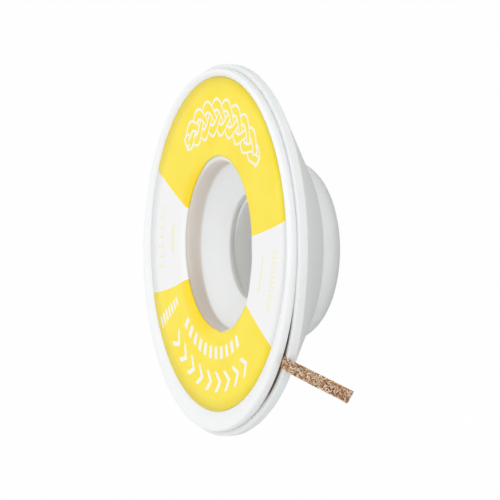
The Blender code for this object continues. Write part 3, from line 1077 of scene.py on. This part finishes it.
outer = plus(given["Inner Radius"], times(given["Turns"], given["Pitch"]))
spiral = output(winding, "GeometryNodeCurveSpiral", {
    "Resolution": given["Steps"], "Rotations": given["Turns"], "Start Radius": given["Inner Radius"],
    "End Radius": outer, "Height": 0.0})
upright = output(winding, "GeometryNodeSetCurveNormal", {"Curve": spiral}, mode="Z_UP")
upright = store(upright, "along", length_in_mm())
ribbon = output(winding, "GeometryNodeCurvePrimitiveQuadrilateral",
                {"Width": given["Thickness"], "Height": given["Width"]}, mode="RECTANGLE")
ribbon = output(winding, "GeometryNodeFilletCurve",
                {"Curve": ribbon, "Radius": times(given["Thickness"], 0.4)}, mode="BEZIER")
ribbon = output(winding, "GeometryNodeResampleCurve",
                {"Curve": ribbon, "Count": SECTION_POINTS}, mode="COUNT")
ribbon = store(ribbon, "around", length_in_mm())
swept = output(winding, "GeometryNodeCurveToMesh",
               {"Curve": upright, "Profile Curve": ribbon, "Fill Caps": True})
end_tree(swept, given["Material"], result)

# %% [markdown]
# ## Three lanes
# Nine turns lie against the front half, eight beside them, and three in the narrow end
# of the cone. The tree runs once for each lane, and each lane is then moved to its place
# in its own mesh, so that the object itself stays at the origin.

# %% Three lanes of the winding
LANE_PITCH = 1.55 * MM
TURN_PITCH = 0.34 * MM
lanes = []
for lane, turns in enumerate((9, 8, 3)):
    blank = into_scene(f"winding_lane_{lane + 1}", bpy.data.meshes.new("blank"))
    run_tree(blank, winding, {
        "Turns": float(turns), "Inner Radius": COIL_RADIUS + BRAID_THICKNESS / 2, "Pitch": TURN_PITCH,
        "Width": BRAID_WIDTH, "Thickness": BRAID_THICKNESS, "Steps": 72, "Material": wound_copper})
    depth = COIL_DEPTH + lane * LANE_PITCH + BRAID_WIDTH / 2
    blank.data.transform(Matrix.Translation((0, HOLE_OFFSET, FACE_HEIGHT - depth)))
    blank.data.shade_smooth()
    blank.data.set_sharp_from_angle(angle=math.radians(40))
    lanes.append(blank)
    reach = max(v.co.x for v in blank.data.vertices)
    print(f"{blank.name}: {turns} turns, {reach * 2000:.1f} mm across")

# %% [markdown]
# ## Floor
# The floor is plain and pale. To the camera it glows almost white, as a light table
# does, so that only a breath of shadow is left under the bobbin. To everything else it
# is a soft grey, which throws just enough light up onto the cone.

# %% Floor
FLOOR_REACH = 3.0
FLOOR_LEVEL = -0.02 * MM
CORNERS = ((-1, -1), (1, -1), (1, 1), (-1, 1))
floor_mesh = bpy.data.meshes.new("floor")
corners = [(x * FLOOR_REACH, y * FLOOR_REACH, FLOOR_LEVEL) for x, y in CORNERS]
floor_mesh.from_pydata(corners, [], [(0, 1, 2, 3)])
floor = into_scene("floor", floor_mesh)
floor_finish, tree, shader = new_material("floor_white", Roughness=0.9, Specular_IOR_Level=0.1)
shader.inputs["Base Color"].default_value = (0.66, 0.66, 0.65, 1)
glow = output(tree, "ShaderNodeEmission", {"Color": (1, 1, 1, 1), "Strength": 1.0})
seen = add(tree, "ShaderNodeLightPath").outputs["Is Camera Ray"]
share = plus(0.15, times(seen, 0.83))
surface = output(tree, "ShaderNodeMixShader", {0: share, 1: shader.outputs[0], 2: glow})
connect(tree.nodes["Material Output"].inputs, Surface=surface)
floor_mesh.materials.append(floor_finish)
floor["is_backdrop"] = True
print(f"floor {2 * FLOOR_REACH:.0f} m across")

# %% [markdown]
# ## Lights
# The open white surroundings do most of the lighting. A wide lamp overhead adds a little
# on the label, and a low one at the side, a bit towards the top of the picture, lights
# the hub more than the cone, whose wall turns away from it.

# %% Lights
WORLD_STRENGTH = 0.87
LAMP_POWER = 0.35
FILL_POWER = 0.8
LIT_POINT = Vector((0, 0, 10 * MM))
world = bpy.data.worlds.new("studio")
world.use_nodes = True
sky = world.node_tree.nodes["Background"].inputs
sky["Color"].default_value = (1, 1, 1, 1)
sky["Strength"].default_value = WORLD_STRENGTH
bpy.context.scene.world = world
for name, place, size, power in (("softbox", (-0.12, 0.10, 0.45), 0.5, LAMP_POWER),
                                 ("side_fill", (0.48, 0.14, 0.03), 0.3, FILL_POWER)):
    lamp_data = bpy.data.lights.new(name, "AREA")
    lamp_data.size = size
    lamp_data.energy = power
    lamp = into_scene(name, lamp_data)
    lamp.location = place
    lamp.rotation_euler = (LIT_POINT - lamp.location).to_track_quat("-Z", "Y").to_euler()
bpy.context.scene.view_settings.view_transform = "Standard"
print(f"surroundings {WORLD_STRENGTH}, softbox {LAMP_POWER} W, side fill {FILL_POWER} W")

# %% [markdown]
# ## Ride and replace
# Each dressed piece rides on the one body and hides the solid that it replaces. The
# overall boxes before and after are written down, so that the dressed model can be
# compared with the solids.

# %% Ride and replace
for piece, node, slot in (
        (front_half, "front_shell", "front_plastic"),
        (back_half, "back_shell", "back_plastic"),
        (ring_label, "label", "label_print"),
        (free_end, "braid_tail", "braid_copper")):
    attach(piece, "root")
    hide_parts(node)
for lane in lanes:
    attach(lane, "root")
    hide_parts("braid_coil")
model_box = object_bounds()
for label, box in (("solids", cad_box), ("dressed", model_box)):
    print(label, [[round(v * 1000, 2) for v in corner] for corner in box])
